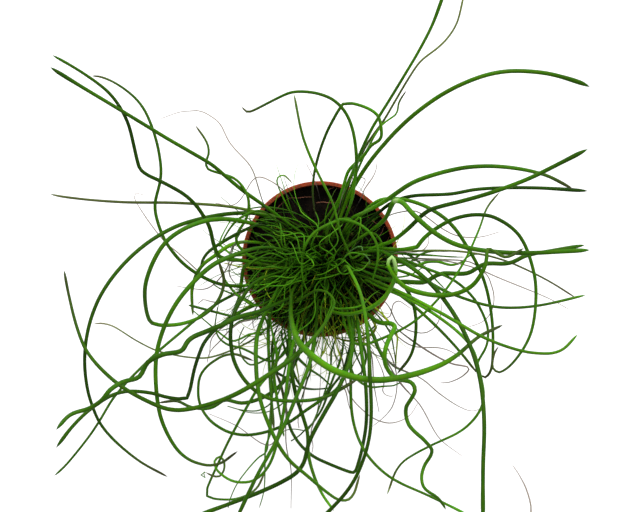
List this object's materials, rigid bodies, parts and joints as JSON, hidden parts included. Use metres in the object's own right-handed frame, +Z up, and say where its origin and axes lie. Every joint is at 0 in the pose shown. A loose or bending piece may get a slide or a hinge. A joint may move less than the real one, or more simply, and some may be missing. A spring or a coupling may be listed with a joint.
{
  "type": "potted corkscrew rush",
  "caption": "Corkscrew rush with long twisting and arching green stems, growing in a round terracotta-coloured nursery pot filled with potting mix.",
  "frame": {"origin": "middle of the pot's flat underside, on the surface the pot stands on", "axes": "+Z up along the pot's axis; the pot is round, and the plant's longest reach lies along X"},
  "size_m": [0.3997, 0.3867, 0.2892],
  "materials": {
    "pot_plastic": "satin",
    "potting_mix": "matte",
    "stem_green": "satin",
    "stem_lime": "satin",
    "stem_dark": "satin",
    "stem_dry": "matte"
  },
  "bodies": {
    "root": {"pot": "pot_plastic", "potting_mix": "potting_mix", "stem_dry_east": "stem_dry", "stem_dry_ne": "stem_dry", "stem_dry_sw": "stem_dry", "stem_dry_west": "stem_dry", "stem_east_arch": "stem_green", "stem_east_bow": "stem_green", "stem_east_crossing": "stem_green", "stem_east_dark": "stem_dark", "stem_east_drop": "stem_green", "stem_east_lime": "stem_lime", "stem_east_low": "stem_green", "stem_east_ring": "stem_green", "stem_east_straight": "stem_green", "stem_east_swoop": "stem_lime", "stem_east_thick": "stem_green", "stem_east_vertical": "stem_green", "stem_east_wavy": "stem_dark", "stem_ne_arch": "stem_lime", "stem_ne_crook": "stem_green", "stem_ne_tall": "stem_green", "stem_north_arch": "stem_green", "stem_north_kink": "stem_green", "stem_north_loop": "stem_green", "stem_north_spike": "stem_lime", "stem_nw_curl": "stem_green", "stem_nw_long": "stem_green", "stem_nw_s_bend": "stem_green", "stem_se_corkscrew": "stem_green", "stem_se_return": "stem_green", "stem_se_slant": "stem_green", "stem_se_trail": "stem_green", "stem_south_arc": "stem_green", "stem_south_bright": "stem_lime", "stem_south_cross": "stem_green", "stem_south_curl": "stem_green", "stem_south_hook": "stem_green", "stem_south_kink": "stem_dark", "stem_south_lean": "stem_green", "stem_south_left": "stem_green", "stem_south_plumb": "stem_dark", "stem_south_trail": "stem_green", "stem_south_vertical": "stem_lime", "stem_sw_bend": "stem_green", "stem_sw_big": "stem_lime", "stem_sw_ring": "stem_green", "stem_sw_twist": "stem_green", "stem_sw_wavy": "stem_dark", "stem_west_arc_inner": "stem_green", "stem_west_arc_low": "stem_green", "stem_west_arc_outer": "stem_green", "stem_west_dark_long": "stem_dark", "stem_west_thin_s": "stem_green", "stem_west_yellow": "stem_lime", "tuft_northeast": "stem_dark", "tuft_northwest": "stem_dark", "tuft_south": "stem_dark", "tuft_southwest": "stem_dark", "tuft_west": "stem_dark"}
  },
  "joints": []
}
